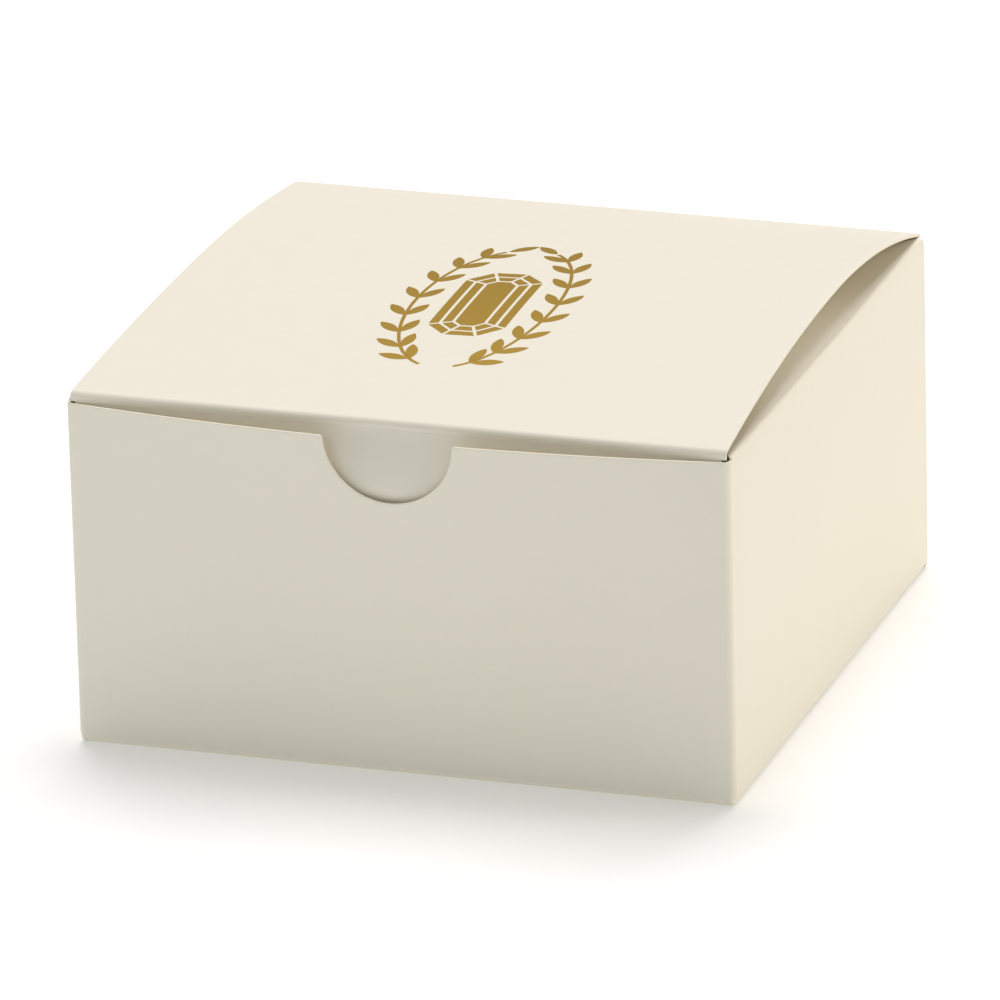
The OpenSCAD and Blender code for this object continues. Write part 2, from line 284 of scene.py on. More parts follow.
class Wire:
    # A node output; arithmetic on it adds Math nodes
    def __init__(self, tree, socket=None):
        self.tree = tree
        self.socket = socket

    def node(self, kind, settings=None, sockets=None, out=0):
        made = self.tree.nodes.new(kind)
        for key, value in (settings or {}).items():
            setattr(made, key, value)
        for key, value in (sockets or {}).items():
            if isinstance(value, Wire):
                self.tree.links.new(value.socket, made.inputs[key])
            else:
                made.inputs[key].default_value = value
        return Wire(self.tree, made.outputs[out] if len(made.outputs) else None)

    def math(self, operation, *values):
        return self.node("ShaderNodeMath", {"operation": operation}, dict(enumerate(values)))

    def __add__(self, other):
        return self.math("ADD", self, other)

    def __sub__(self, other):
        return self.math("SUBTRACT", self, other)

    def __rsub__(self, other):
        return self.math("SUBTRACT", other, self)

    def __mul__(self, other):
        return self.math("MULTIPLY", self, other)

    __radd__ = __add__
    __rmul__ = __mul__

    def ramp(self, low, high):
        # 0 below low, 1 above high, smooth between
        return self.node("ShaderNodeMapRange", {"interpolation_type": "SMOOTHSTEP", "clamp": True},
                         {0: self, 1: low, 2: high, 3: 0.0, 4: 1.0})

    def mix(self, first, second):
        # Colour from first to second as this wire goes from 0 to 1
        return self.node("ShaderNodeMix", {"data_type": "RGBA"}, {0: self, 6: first, 7: second}, out=2)

    def shade(self, colour):
        # The colour times this wire, as a grey
        grey = self.node("ShaderNodeCombineColor", {}, {0: self, 1: self, 2: self})
        return self.node("ShaderNodeMix", {"data_type": "RGBA", "blend_type": "MULTIPLY"},
                         {0: 1.0, 6: colour, 7: grey}, out=2)

    def noise(self, size, detail=3.0, stretch=(1, 1, 1), roughness=0.55):
        # Noise whose features are about size metres across, from -0.5 to 0.5
        place = self.node("ShaderNodeTexCoord", out=3)
        spread = self.node("ShaderNodeVectorMath", {"operation": "MULTIPLY"}, {0: place, 1: stretch})
        made = self.node("ShaderNodeTexNoise", {"noise_dimensions": "3D"},
                         {"Vector": spread, "Scale": 1 / size, "Detail": detail, "Roughness": roughness})
        return made - 0.5

    def attribute(self, name):
        return self.node("ShaderNodeAttribute", {"attribute_name": name}, out=2)

    def bump(self, height, distance):
        # Normal tilted by the height, whose unit is distance metres
        return self.node("ShaderNodeBump", {}, {"Height": height, "Distance": distance, "Strength": 1.0})


def newMaterial(name):
    made = bpy.data.materials.new(name)
    made.use_nodes = True
    made.node_tree.nodes.clear()
    return made, Wire(made.node_tree)


def finishMaterial(wire, sockets):
    surface = wire.node("ShaderNodeBsdfPrincipled", {}, sockets)
    wire.node("ShaderNodeOutputMaterial", {}, {"Surface": surface})


# Coated ivory board: smooth outside, warm and fibrous inside, layered where cut, crushed where scored.
# A pair of limits says where a value starts to count and where it counts in full
boardLook = {
    "coated": (0.880, 0.845, 0.725, 1),
    "uncoated": (0.760, 0.680, 0.520, 1),
    "core": (0.900, 0.850, 0.720, 1),
    "fleck": (0.50, 0.38, 0.22, 1),
    "coatedRoughness": 0.50,
    "uncoatedRoughness": 0.88,
    "ior": 1.47,
    "specular": 0.38,
    # Size, detail and stretch of each grain
    "grains": {"fibre": (0.32 * mm, 4.0), "strandA": (0.224 * mm, 3.0, (1, 0.22, 1)),
               "strandB": (0.224 * mm, 3.0, (0.22, 1, 0.3)), "mottle": (2.6 * mm, 3.0),
               "wave": (17 * mm, 1.5), "layer": (0.09 * mm, 1.0, (0.15, 0.15, 1)),
               "wrinkle": (0.25 * mm, 3.0)},
    "insideLimits": (-0.2, 0.6),
    "cutLimits": (0.93, 0.995),
    "faceLimits": (0.75, 1.0),
    "faceShare": 0.8,
    "wornLimits": (0.2, 1.0),
    "fleckLimits": (0.2, 0.32),
    "fleckShare": 0.35,
    # What each part adds to a colour's brightness, to the share of core that shows, to the roughness and to
    # the height in millimetres
    "coatTint": {"mottle": 0.022, "fibre": 0.02, "wave": 0.012},
    "bareTint": {"mottle": 0.06, "strand": 0.11},
    "coreTint": {"strand": 0.10, "layer": 0.12},
    "crushedTint": {"strand": 0.08},
    "crushedShare": {"score": 0.35, "worn": 0.30},
    "rough": {"mottle": 0.08, "fibre": 0.10, "score": 0.12, "worn": 0.15},
    "height": {"wave": 0.05, "mottle": 0.0035, "fibre": 0.0014, "insideFibre": 0.006, "bareStrand": 0.006,
               "scoreWrinkle": 0.02},
}


def boardMaterial():
    look = boardLook
    made, wire = newMaterial("ivory_board")
    side = wire.attribute("side")
    rim = wire.attribute("rim")
    part = {name: wire.noise(*grain) for name, grain in look["grains"].items()}
    part["strand"] = part["strandA"] + part["strandB"]
    part["score"] = wire.attribute("score").ramp(0.0, 1.0)
    part["worn"] = rim.ramp(*look["wornLimits"])
    inside = (0 - side).ramp(*look["insideLimits"])
    face = side.math("ABSOLUTE", side).ramp(*look["faceLimits"])
    raw = rim.ramp(*look["cutLimits"]) * (1 - face * look["faceShare"])
    uncovered = inside + raw
    part["insideFibre"] = part["fibre"] * inside
    part["bareStrand"] = part["strand"] * uncovered
    part["scoreWrinkle"] = part["wrinkle"] * part["score"]

    def total(key, value):
        # value + the sum of each part times its weight
        for name, weight in look[key].items():
            value = value + part[name] * weight
        return value

    coat = total("coatTint", 1).shade(look["coated"])
    bare = total("bareTint", 1).shade(look["uncoated"])
    flecks = part["strandA"].ramp(*look["fleckLimits"]) * look["fleckShare"]
    skin = inside.mix(coat, flecks.mix(bare, look["fleck"]))
    skin = total("crushedShare", 0).mix(skin, total("crushedTint", 1).shade(look["core"]))
    gain = look["uncoatedRoughness"] - look["coatedRoughness"]
    rough = total("rough", look["coatedRoughness"]) + uncovered.math("MINIMUM", uncovered, 1.0) * gain
    finishMaterial(wire, {
        "Base Color": raw.mix(skin, total("coreTint", 1).shade(look["core"])),
        "Roughness": rough,
        "IOR": look["ior"],
        "Specular IOR Level": look["specular"],
        "Normal": wire.bump(total("height", 0), mm)})
    return made


glueLook = {"colour": (0.80, 0.74, 0.56, 1), "streak": (0.68, 0.60, 0.42, 1), "roughness": 0.35,
            "size": 1.6 * mm, "stretch": (1, 1, 0.25), "limits": (-0.1, 0.25), "dulled": 0.3,
            "height": 0.02 * mm}


def glueMaterial():
    # Dried glue film, thicker in streaks
    made, wire = newMaterial("glue")
    streak = wire.noise(glueLook["size"], 3.0, glueLook["stretch"])
    colour = streak.ramp(*glueLook["limits"]).mix(glueLook["colour"], glueLook["streak"])
    finishMaterial(wire, {
        "Base Color": colour,
        "Roughness": glueLook["roughness"] + streak * glueLook["dulled"],
        "Normal": wire.bump(streak, glueLook["height"])})
    return made


foilLook = {
    "gold": (0.475, 0.300, 0.030, 1),
    "deep": (0.380, 0.225, 0.018, 1),
    "roughness": 0.42,
    "metallic": 0.55,
    "specular": 0.5,
    "grain": 0.22 * mm,
    "cloud": 3.5 * mm,
    "pitLimits": (0.10, 0.26),
    "deepShare": {"cloud": 1.2, "pit": 0.5, "all": 0.3},
    "pitMetal": 0.3,
    "dulled": {"pit": 0.2, "cloud": 0.12},
    "height": 0.004 * mm,
}


def foilMaterial():
    # Satin hot foil over board: the board's grain shows through as small dull pits
    look = foilLook
    made, wire = newMaterial("gold_foil")
    grain = wire.noise(look["grain"], 4.0)
    cloud = wire.noise(look["cloud"], 2.0)
    pit = grain.ramp(*look["pitLimits"])
    share, dulled = look["deepShare"], look["dulled"]
    colour = (cloud * share["cloud"] + pit * share["pit"] + share["all"]).mix(look["gold"], look["deep"])
    finishMaterial(wire, {
        "Base Color": colour,
        "Metallic": look["metallic"] - pit * look["pitMetal"],
        "Roughness": look["roughness"] + pit * dulled["pit"] + cloud * dulled["cloud"],
        "Specular IOR Level": look["specular"],
        "Normal": wire.bump(grain, look["height"])})
    return made


boardPaint = boardMaterial()
gluePaint = glueMaterial()
foilPaint = foilMaterial()
print("materials made")


def boardPiece(node, *parts):
    return makePiece(node + "_board", parts, boardPaint, [node])


wall = {"notchR": 10 * mm, "notchCorner": 0.5 * mm, "notchSteps": 48, "cornerSteps": 6, "columns": 40,
        "rows": 40, "bow": 3.9 * mm, "backCorner": 0.95 * mm}


def bowedOut(points):
    # Pushed forward by bow (1 - (x / halfW)^2) (z - foot) / (top - foot): straight up, curved across
    share = np.clip((points[:, 2] - footR) / (wallTop - footR), 0, 1)
    reach = wall["bow"] * (1 - (points[:, 0] / halfW) ** 2) * share
    return points - reach[:, None] * yAxis


def ruledBoard(line, turned, start, end, level, rows):
    # Flat board between a cut line and a joined one. Rows step in from the cut line by the edge's profile,
    # then go straight to points on the joined line, spread from start to end by arc length:
    # p = a (1 - t) + b t. Gives the points, and how far each row counts as being from a cut edge
    heading = unit(np.gradient(line, axis=0))
    inward = turned * np.stack([heading[:, 1], -heading[:, 0]], 1)
    run = np.append(0, np.cumsum(np.linalg.norm(np.diff(line, axis=0), axis=1)))
    foot = np.stack([start + (end - start) * run / run[-1], np.full_like(run, level)], 1)
    inset = stationsBetween(0, 1, 2)[:edge["steps"] + 2]
    near = line[:, None] + inset[:, None] * inward[:, None]
    t = np.linspace(0, 1, rows)[1:, None]
    flat = np.concatenate([near, near[:, -1:] * (1 - t) + foot[:, None] * t], 1)
    return flat, np.append(inset, np.full(len(t), abs(end - start)))[None, None]


def frontWall():
    # Top line: level, round a small corner, down a half-round notch, and mirrored
    r, corner, x = wall["notchR"], wall["notchCorner"], frontHigh[0]
    lip = math.sqrt(r * r - corner * corner)
    level = np.linspace(-x, -lip - corner, wall["columns"])
    turn = np.linspace(np.pi / 2, 0, wall["cornerSteps"])[1:]
    swing = np.linspace(-np.pi + math.asin(corner / r), -np.pi / 2, wall["notchSteps"] // 2)[1:]
    line = np.concatenate([
        np.stack([level, np.full_like(level, wallTop)], 1),
        np.stack([np.cos(turn), np.sin(turn)], 1) * corner + [-lip - corner, wallTop - corner],
        np.stack([np.cos(swing), np.sin(swing)], 1) * r + [0, wallTop]])
    line = np.concatenate([line, line[-2::-1] * [-1, 1]])
    flat, distance = ruledBoard(line, 1, -x, x, footR, wall["rows"])
    mid = flat[..., :1] * xAxis + flat[..., 1:] * zAxis - (halfD - board / 2) * yAxis
    part = sheet(mid[None], -yAxis, shoulder(distance, board), rimOf(distance))
    part["points"] = bowedOut(part["points"])
    return boardPiece("front_wall", part)


def sideWall(sign):
    # Upright board; its top edge drops by a step where the dust flap's score takes over
    front = -halfD + cornerR
    scoreBack = flapBack[sign]
    name = sideName[sign] + "_wall"
    back = boxOf(name)[1][1]
    corners = [[front, footR], [back, footR], [back, rootTop], [back, wallTop], [scoreBack, wallTop],
               [scoreBack, rootTop], [flapFront, rootTop], [flapFront, wallTop], [front, wallTop]]
    cuts = [False, False, True, True, False, False, False, True, False]
    radii = np.zeros(len(corners))
    radii[3] = wall["backCorner"]
    corners = np.array(corners)
    if sign < 0:
        # Seen from outside, the left wall's front is on the right
        corners = (corners * [-1, 1])[::-1]
        cuts = cuts[-2::-1] + cuts[-1:]
        radii = radii[::-1]
    outline, flags = rounded(corners, radii, cuts)
    origin = np.array([sign * (halfW - board / 2), 0, 0])
    part = plate(outline, flags, board, origin, sign * yAxis, zAxis)
    return boardPiece(name, part)


def backWall():
    # Upright board whose cut edge at the seam stops just short of the corner
    near = -(halfW - cornerR)
    far = -backLow[0]
    corners = [[near, footR], [far, footR], [far, rootTop], [near, rootTop]]
    outline, flags = rounded(corners, [0, 0, 0, 0], [False, True, False, False])
    part = plate(outline, flags, board, np.array([0, halfD - board / 2, 0]), -xAxis, zAxis)
    return boardPiece("back_wall", part)


for piece in (frontWall(), sideWall(1), sideWall(-1), backWall()):
    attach(piece, "carton")
print("walls made")

upright = {"arcSteps": 14, "rows": 48, "foot": 0.1 * mm, "tuckIn": 0.7 * mm}


def uprightScore(node, cx, cy, turn, high):
    # Upright corner: a quarter ring of board, centre + m(z) (cos a, sin a), run up z. Below the walls' foot
    # the ring draws in by tuckIn (1 - sqrt(1 - s^2)), s = (foot - z) / foot; the front ones bow too
    low = upright["foot"]
    angle = np.radians(turn) + eased(0, np.pi / 2, upright["arcSteps"])
    outward = np.stack([np.cos(angle), np.sin(angle), 0 * angle], -1)
    z = stationsBetween(low, high, upright["rows"])
    sunk = np.clip((footR - z) / footR, 0, 1)
    radius = cornerR - board / 2 - upright["tuckIn"] * (1 - np.sqrt(1 - sunk ** 2))
    mid = (np.array([cx, cy, 0]) + radius[:, None, None] * outward[None] + z[:, None, None] * zAxis)[None]
    distance = np.minimum(z - low, high - z)
    crushed = np.sin(np.linspace(0, np.pi, len(angle)))[None, None]
    part = sheet(mid, outward[None, None], *acrossEdges(distance), crushed)
    if cy < 0:
        part["points"] = bowedOut(part["points"])
    return boardPiece(node, part)


innerX = halfW - cornerR
seamY = boxOf("seam_crease")[1][1]
for piece in (
        uprightScore("front_left_crease", -innerX, -halfD + cornerR, 180, wallTop),
        uprightScore("front_right_crease", innerX, -halfD + cornerR, 270, wallTop),
        uprightScore("back_right_crease", innerX, halfD - cornerR, 0, rootTop),
        uprightScore("seam_crease", -innerX, seamY - cornerR, 90, rootTop)):
    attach(piece, "carton")

seam = {"slant": 4 * mm, "width": 14 * mm, "tabR": 1.2 * mm, "filmR": 1.5 * mm}


def tabPlate(node, material, kind, inner):
    # Board or film against the back wall's inner face; its ends slant in towards the free edge by slant
    # for each width
    low, high = boxOf(node)
    near, far = -high[0], -low[0]
    slant = seam["slant"] * (far - near) / seam["width"]
    corners = [[near, low[2] + slant], [far, low[2]], [far, high[2]], [near, high[2] - slant]]
    cuts = [True, False, True, True]
    radii = [inner, 0, 0, inner]
    outline, flags = rounded(corners, radii, cuts)
    part = plate(outline, flags, high[1] - low[1], np.array([0, (low[1] + high[1]) / 2, 0]), -xAxis, zAxis)
    return makePiece(node + "_" + kind, [part], material, [node])


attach(tabPlate("glue_tab", boardPaint, "board", seam["tabR"]), "carton")
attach(tabPlate("seam_glue", gluePaint, "film", seam["filmR"]), "carton")
print("corners and seam made")

# Bottom: four flaps in layers, each leaving its wall round a rounded foot
bottom = {"slant": 6 * mm, "tongueW": 40 * mm, "recess": 1 * mm, "shoulder": 12 * mm,
          "slotPlay": 0.3 * mm, "footPlay": 0.02 * mm, "slotR": 1 * mm, "cornerR": 3 * mm,
          "footSteps": 12, "footLow": 0.3 * mm, "footRun": 0.8, "leadSteps": 8, "stations": 12,
          "riseSteps": 6, "bendSteps": 10, "roundSteps": 12, "riserScore": 0.5}
# Corners and sides of a flap with one joined side and two rounded corners
freeRadii = [0, 0, bottom["cornerR"], bottom["cornerR"]]
freeCuts = [False, True, True, True]


def bottomPlate(side, corners, radii, cuts):
    # Layer of the bottom, its coated face down
    low, high = boxOf(side + "_bottom_flap")
    cuts = cuts[-2::-1] + cuts[-1:]
    outline, flags = rounded(np.array(corners)[::-1] * [1, -1], radii[::-1], cuts)
    part = plate(outline, flags, board, np.array([0, 0, (low[2] + high[2]) / 2]), xAxis, -yAxis)
    return makePiece(side + "_bottom_board", [part], boardPaint, [side + "_bottom_flap"])


def frontBottom():
    low, high = boxOf("front_bottom_flap")
    far = high[0] - bottom["slant"]
    corners = [[low[0], low[1]], [high[0], low[1]], [far, high[1]], [-far, high[1]]]
    return bottomPlate("front", corners, freeRadii, freeCuts)


def sideBottom(sign):
    low, high = boxOf("right_bottom_flap")
    far = high[1] - bottom["slant"]
    corners = np.array([[high[0], low[1]], [high[0], high[1]], [low[0], far], [low[0], -far]]) * sign
    return bottomPlate(sideName[sign], corners, freeRadii, freeCuts)


def backBottom():
    low, high = boxOf("back_bottom_flap")
    far = high[0] - bottom["slant"]
    slotX = bottom["tongueW"] / 2 + bottom["recess"]
    slotY = low[1] + bottom["shoulder"] + board + bottom["slotPlay"]
    corners = [[high[0], high[1]], [-high[0], high[1]], [-far, low[1]], [-slotX, low[1]],
               [-slotX, slotY], [slotX, slotY], [slotX, low[1]], [far, low[1]]]
    r = bottom["cornerR"]
    return bottomPlate("back", corners, [0, 0, r, r, bottom["slotR"], bottom["slotR"], r, r],
                       [False] + [True] * 7)


def tongue():
    # Riser from the front flap up through the recess, then a level tongue with rounded corners
    half = bottom["tongueW"] / 2
    bendR = board
    low, high = boxOf("lock_tongue")
    centre = np.array([low[1] + bendR, high[2] - bendR])
    angle = eased(0, np.pi / 2, bottom["bendSteps"])
    outward = np.stack([-np.cos(angle), np.sin(angle)], 1)
    bend = centre + (bendR - board / 2) * outward
    count = bottom["riseSteps"]
    rise = np.stack([np.full(count, low[1] + board / 2),
                     np.linspace(low[2] + board, centre[1], count + 1)[:-1]], 1)
    path = np.concatenate([rise, bend])
    normals = np.concatenate([np.tile([-1.0, 0.0], (count, 1)), outward])
    x = stationsBetween(-half, half, bottom["stations"])
    mid = (x[:, None] * xAxis)[None, :, None] + (path[:, :1] * yAxis + path[:, 1:] * zAxis)[None, None]
    normal = (normals[:, :1] * yAxis + normals[:, 1:] * zAxis)[None, None]
    distance = half - np.abs(x)
    # The coated face looks back on the riser and down on the tongue, against the path's normals
    riser = sheet(mid, -normal, *acrossEdges(distance), bottom["riserScore"])
    r = (high[1] - low[1]) / 2
    corners = [[-half, -centre[0]], [-half, -high[1]], [half, -high[1]], [half, -centre[0]]]
    outline, flags = rounded(corners, [0, r, r, 0], [True, True, True, False], bottom["roundSteps"])
    flat = plate(outline, flags, board, np.array([0, 0, high[2] - board / 2]), xAxis, -yAxis)
    return boardPiece("lock_tongue", riser, flat)


def foot(side, direction, layer):
    # Bent board from the wall down to its bottom flap: a quarter ellipse with semi-axes run and footR - low,
    # then a rise of (1 - cos(pi t)) / 2 from low to the flap's own layer
    layerZ = boxOf(layer + "_bottom_flap")[0][2]
    low = min(layerZ, bottom["footLow"])
    run = footR * bottom["footRun"]
    angle = eased(0, np.pi / 2, bottom["footSteps"])
    arc = np.stack([run * (1 - np.cos(angle)), footR - (footR - low) * np.sin(angle)], 1)
    t = np.linspace(0, 1, bottom["leadSteps"])[1:]
    rise = np.stack([run + (footR - run) * t, low + (layerZ - low) * (1 - np.cos(np.pi * t)) / 2], 1)
    outer = np.concatenate([arc, rise])
    tangent = unit(np.gradient(outer, axis=0))
    tangent[0] = [0, -1]
    tangent[-1] = [1, 0]
    normals = np.stack([tangent[:, 1], -tangent[:, 0]], 1)
    path = outer - normals * board / 2
    inward = np.array(direction, float)
    length = 2 * (innerX - bottom["footPlay"])
    alongWall = np.cross(zAxis, inward)
    station = stationsBetween(-length / 2, length / 2, bottom["stations"])
    wallPlace = -inward * (halfD if inward[1] else halfW)
    mid = ((station[:, None] * alongWall)[None, :, None] + wallPlace
           + (path[:, :1] * inward + path[:, 1:] * zAxis)[None, None])
    normal = (normals[:, :1] * inward + normals[:, 1:] * zAxis)[None, None]
    distance = length / 2 - np.abs(station)
    fade = np.sin(np.linspace(0, np.pi, len(outer)))[None, None]
    part = sheet(mid, normal, *acrossEdges(distance), fade)
    return boardPiece(side + "_bottom_crease", part)


for piece in (
        frontBottom(), sideBottom(1), sideBottom(-1), backBottom(), tongue(),
        foot("front", (0, 1, 0), "front"), foot("back", (0, -1, 0), "back"),
        foot("left", (1, 0, 0), "right"), foot("right", (-1, 0, 0), "right")):
    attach(piece, "carton")
print("bottom made")

# Lid: two arcs level at the crown, its left side bowed less than its right
lid = {"crownY": 6.2 * mm, "leftShare": 0.49, "columns": 60, "rows": 90,
       "frontRoot": 1.4 * mm, "backPlay": 0.5 * mm}
lidRise = boxOf("lid_panel")[1][2] - wallTop
foldR = boxOf("tuck_crease")[1][2] - foldAxis[2]
foldEnd = np.array([foldAxis[1], foldAxis[2] + foldR - board / 2])
backEnd = np.array([lidAxis[1], lidAxis[2] + beadR - board / 2])


def lidHeight(x, y):
    # Middle surface z = crown - r + sqrt(r^2 - (y - yc)^2), r = (dy^2 + dz^2) / (2 dz) from crown to score
    x, y = np.broadcast_arrays(x, y)
    share = lid["leftShare"] + (1 - lid["leftShare"]) * (x + lidHalf) / (2 * lidHalf)
    crown = wallTop + lidRise * share - board / 2
    front = y < lid["crownY"]
    endY = np.where(front, foldEnd[0], backEnd[0])
    endZ = np.where(front, foldEnd[1], backEnd[1])
    dy, dz = endY - lid["crownY"], crown - endZ
    r = (dy ** 2 + dz ** 2) / (2 * dz)
    return crown - r + np.sqrt(r ** 2 - (y - lid["crownY"]) ** 2)


def onLid(x, y):
    # Middle surface point and unit normal (-dz/dx, -dz/dy, 1) by small differences
    x, y = np.broadcast_arrays(np.asarray(x, float), np.asarray(y, float))
    step = 0.01 * mm
    dx = (lidHeight(x + step, y) - lidHeight(x - step, y)) / (2 * step)
    dy = (lidHeight(x, y + step) - lidHeight(x, y - step)) / (2 * step)
    return np.stack([x, y, lidHeight(x, y)], -1), unit(np.stack([-dx, -dy, np.ones_like(dx)], -1))


def lidPanel():
    x = stationsBetween(-lidHalf, lidHalf, lid["columns"])
    y = eased(foldAxis[1] + lid["frontRoot"], lidAxis[1] - lid["backPlay"], lid["rows"])
    mid, normal = onLid(x[:, None], y[None])
    distance = lidHalf - np.abs(x)
    part = sheet(mid[None], normal[None], *acrossEdges(distance))
    return makePiece("lid_board", [part], boardPaint, ["lid_panel"])


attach(lidPanel(), "lid")

# Folds at the joints, built once at rest. The scores run from 0, untouched, to 1, crushed flat
fold = {"arcSteps": 16, "margin": 5, "least": 0.02 * mm, "stations": 40, "tuckStations": 60, "tuckMargin": 7,
        "tuckArcSteps": 22, "leadScore": 0.6, "tuckScore": 0.8, "dropScores": (0.5, 0.3, 0.0),
        "flapEndScore": 0.5}


def foldSheet(node, x, rows):
    # Middle surface rows (point, normal, half) carried along the fold
    mid, normal, half, score = rows
    distance = np.minimum(x - np.min(x), np.max(x) - x)
    share = shoulder(distance, board) / (board / 2)
    part = sheet(mid[None], normal[None], (share[:, None] * half)[None], rimOf(distance)[None, :, None],
                 np.broadcast_to(score, mid.shape[:2])[None])
    piece = boardPiece(node, part)
    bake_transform(piece)
    return piece


def pointOf(y, z):
    # (y, z) arrays to points on the plane x = 0
    return y[..., None] * yAxis + z[..., None] * zAxis


def lidCrease():
    # Up the back wall, round the lid's axis by 90 degrees less the lid's slope, then onto the lid
    x = stationsBetween(-innerX, innerX, fold["stations"])
    target, targetNormal = onLid(x, np.full_like(x, lidAxis[1] - lid["backPlay"]))
    slope = np.arctan2(targetNormal[:, 1], targetNormal[:, 2])
    rise = np.linspace(rootTop, wallTop, fold["margin"])[:-1]
    wallPart = np.broadcast_to(pointOf(np.full_like(rise, halfD - board / 2), rise), (len(x), len(rise), 3))
    wallNormal = np.broadcast_to(yAxis, wallPart.shape)
    angle = (np.pi / 2 - slope)[:, None] * eased(0, 1, fold["arcSteps"])[None]
    arcNormal = pointOf(np.cos(angle), np.sin(angle))
    arc = lidAxis + (board + fold["least"]) / 2 * arcNormal
    t = np.linspace(0, 1, fold["margin"])[None, 1:, None]
    flatTarget = target * [0, 1, 1]
    leave = arc[:, -1:] * (1 - t) + flatTarget[:, None] * t
    leaveNormal = unit(arcNormal[:, -1:] * (1 - t) + targetNormal[:, None] * t)
    mid = np.concatenate([wallPart, arc, leave], 1) + (x[:, None] * xAxis)[:, None]
    normal = np.concatenate([wallNormal, arcNormal, leaveNormal], 1)
    half = np.concatenate([np.full(len(rise), board / 2),
                           np.full(angle.shape[1], (board - fold["least"]) / 2),
                           np.full(t.shape[1], board / 2)])
    score = np.concatenate([np.linspace(0, 1, len(rise)), np.ones(angle.shape[1]),
                            np.linspace(1, 0, t.shape[1])])
    return foldSheet("lid_crease", x, (mid, normal, half, score))


def tuckCrease():
    # Off the lid's front, round the fold's axis, to the line where the tuck flap starts
    x = stationsBetween(-lidHalf, lidHalf, fold["tuckStations"])
    y = np.linspace(foldAxis[1] + lid["frontRoot"], foldAxis[1], fold["tuckMargin"])[:-1]
    lidPart, lidNormal = onLid(x[:, None], y[None])
    lidPart = lidPart * [0, 1, 1]
    slope = np.arctan2(-lidNormal[:, -1, 1], lidNormal[:, -1, 2])
    turnTo = np.pi / 2
    angle = slope[:, None] + (turnTo - slope[:, None]) * eased(0, 1, fold["tuckArcSteps"])[None]
    arcNormal = pointOf(-np.sin(angle), np.cos(angle))
    arc = foldAxis + (foldR - board / 2) * arcNormal
    count = len(fold["dropScores"])
    down = np.linspace(0, tuck["drop"], count + 1)[None, 1:, None] * -zAxis
    mid = np.concatenate([lidPart, arc, arc[:, -1:] + down], 1) + (x[:, None] * xAxis)[:, None]
    normal = np.concatenate([lidNormal, arcNormal, np.repeat(arcNormal[:, -1:], count, 1)], 1)
    score = np.concatenate([np.linspace(0, fold["leadScore"], len(y)),
                            np.full(angle.shape[1], fold["tuckScore"]), fold["dropScores"]])
    return foldSheet("tuck_crease", x, (mid, normal, board / 2, score))


def flapCrease(sign):
    # Up the side wall and round the dust flap's axis until it looks up, less the flap's tilt
    axis = flapAxis * [sign, 1, 1]
    outward = sign * xAxis
    y = stationsBetween(flapFront, flapBack[sign], fold["stations"])
    rise = np.linspace(rootTop, wallTop, fold["margin"])[:-1]
    wallPart = rise[:, None] * zAxis + outward * (halfW - board / 2)
    angle = (np.pi / 2 - dustTilt) * eased(0, 1, fold["arcSteps"])
    arcNormal = np.cos(angle)[:, None] * outward + np.sin(angle)[:, None] * zAxis
    arc = axis + (board + fold["least"]) / 2 * arcNormal
    path = np.concatenate([wallPart, arc])
    pathNormal = np.concatenate([np.broadcast_to(outward, wallPart.shape), arcNormal])
    mid = path[None] + (y[:, None] * yAxis)[:, None]
    normal = np.broadcast_to(pathNormal[None], mid.shape)
    half = np.concatenate([np.full(len(rise), board / 2), np.full(len(angle), (board - fold["least"]) / 2)])
    score = np.concatenate([np.linspace(0, 1, len(rise)), np.linspace(1, fold["flapEndScore"], len(angle))])
    side = sideName[sign]
    return foldSheet(side + "_flap_crease", y, (mid, normal, half, score))


tuck = {"length": 18 * mm, "cornerR": 10 * mm, "drop": 0.5 * mm, "follow": 0.84, "reach": 10 * mm,
        "curl": 7.5, "cornerSteps": 18, "sideSteps": 12, "endSteps": 60, "rows": 24, "spread": 0.9}
dust = {"length": 38 * mm, "tilt": 3.0, "frontSlant": 10 * mm, "backSlant": 13 * mm, "cornerR": 4 * mm,
        "shoulder": 2.3 * mm, "shoulderR": 1 * mm, "cornerSteps": 10, "columns": 120, "rows": 24,
        "least": 0.05 * mm, "spring": {1: 2.2 * mm, -1: 0.6 * mm}, "springY": -6 * mm,
        "springReach": 38 * mm, "springRun": 3 * mm}
dustTilt = math.radians(dust["tilt"])


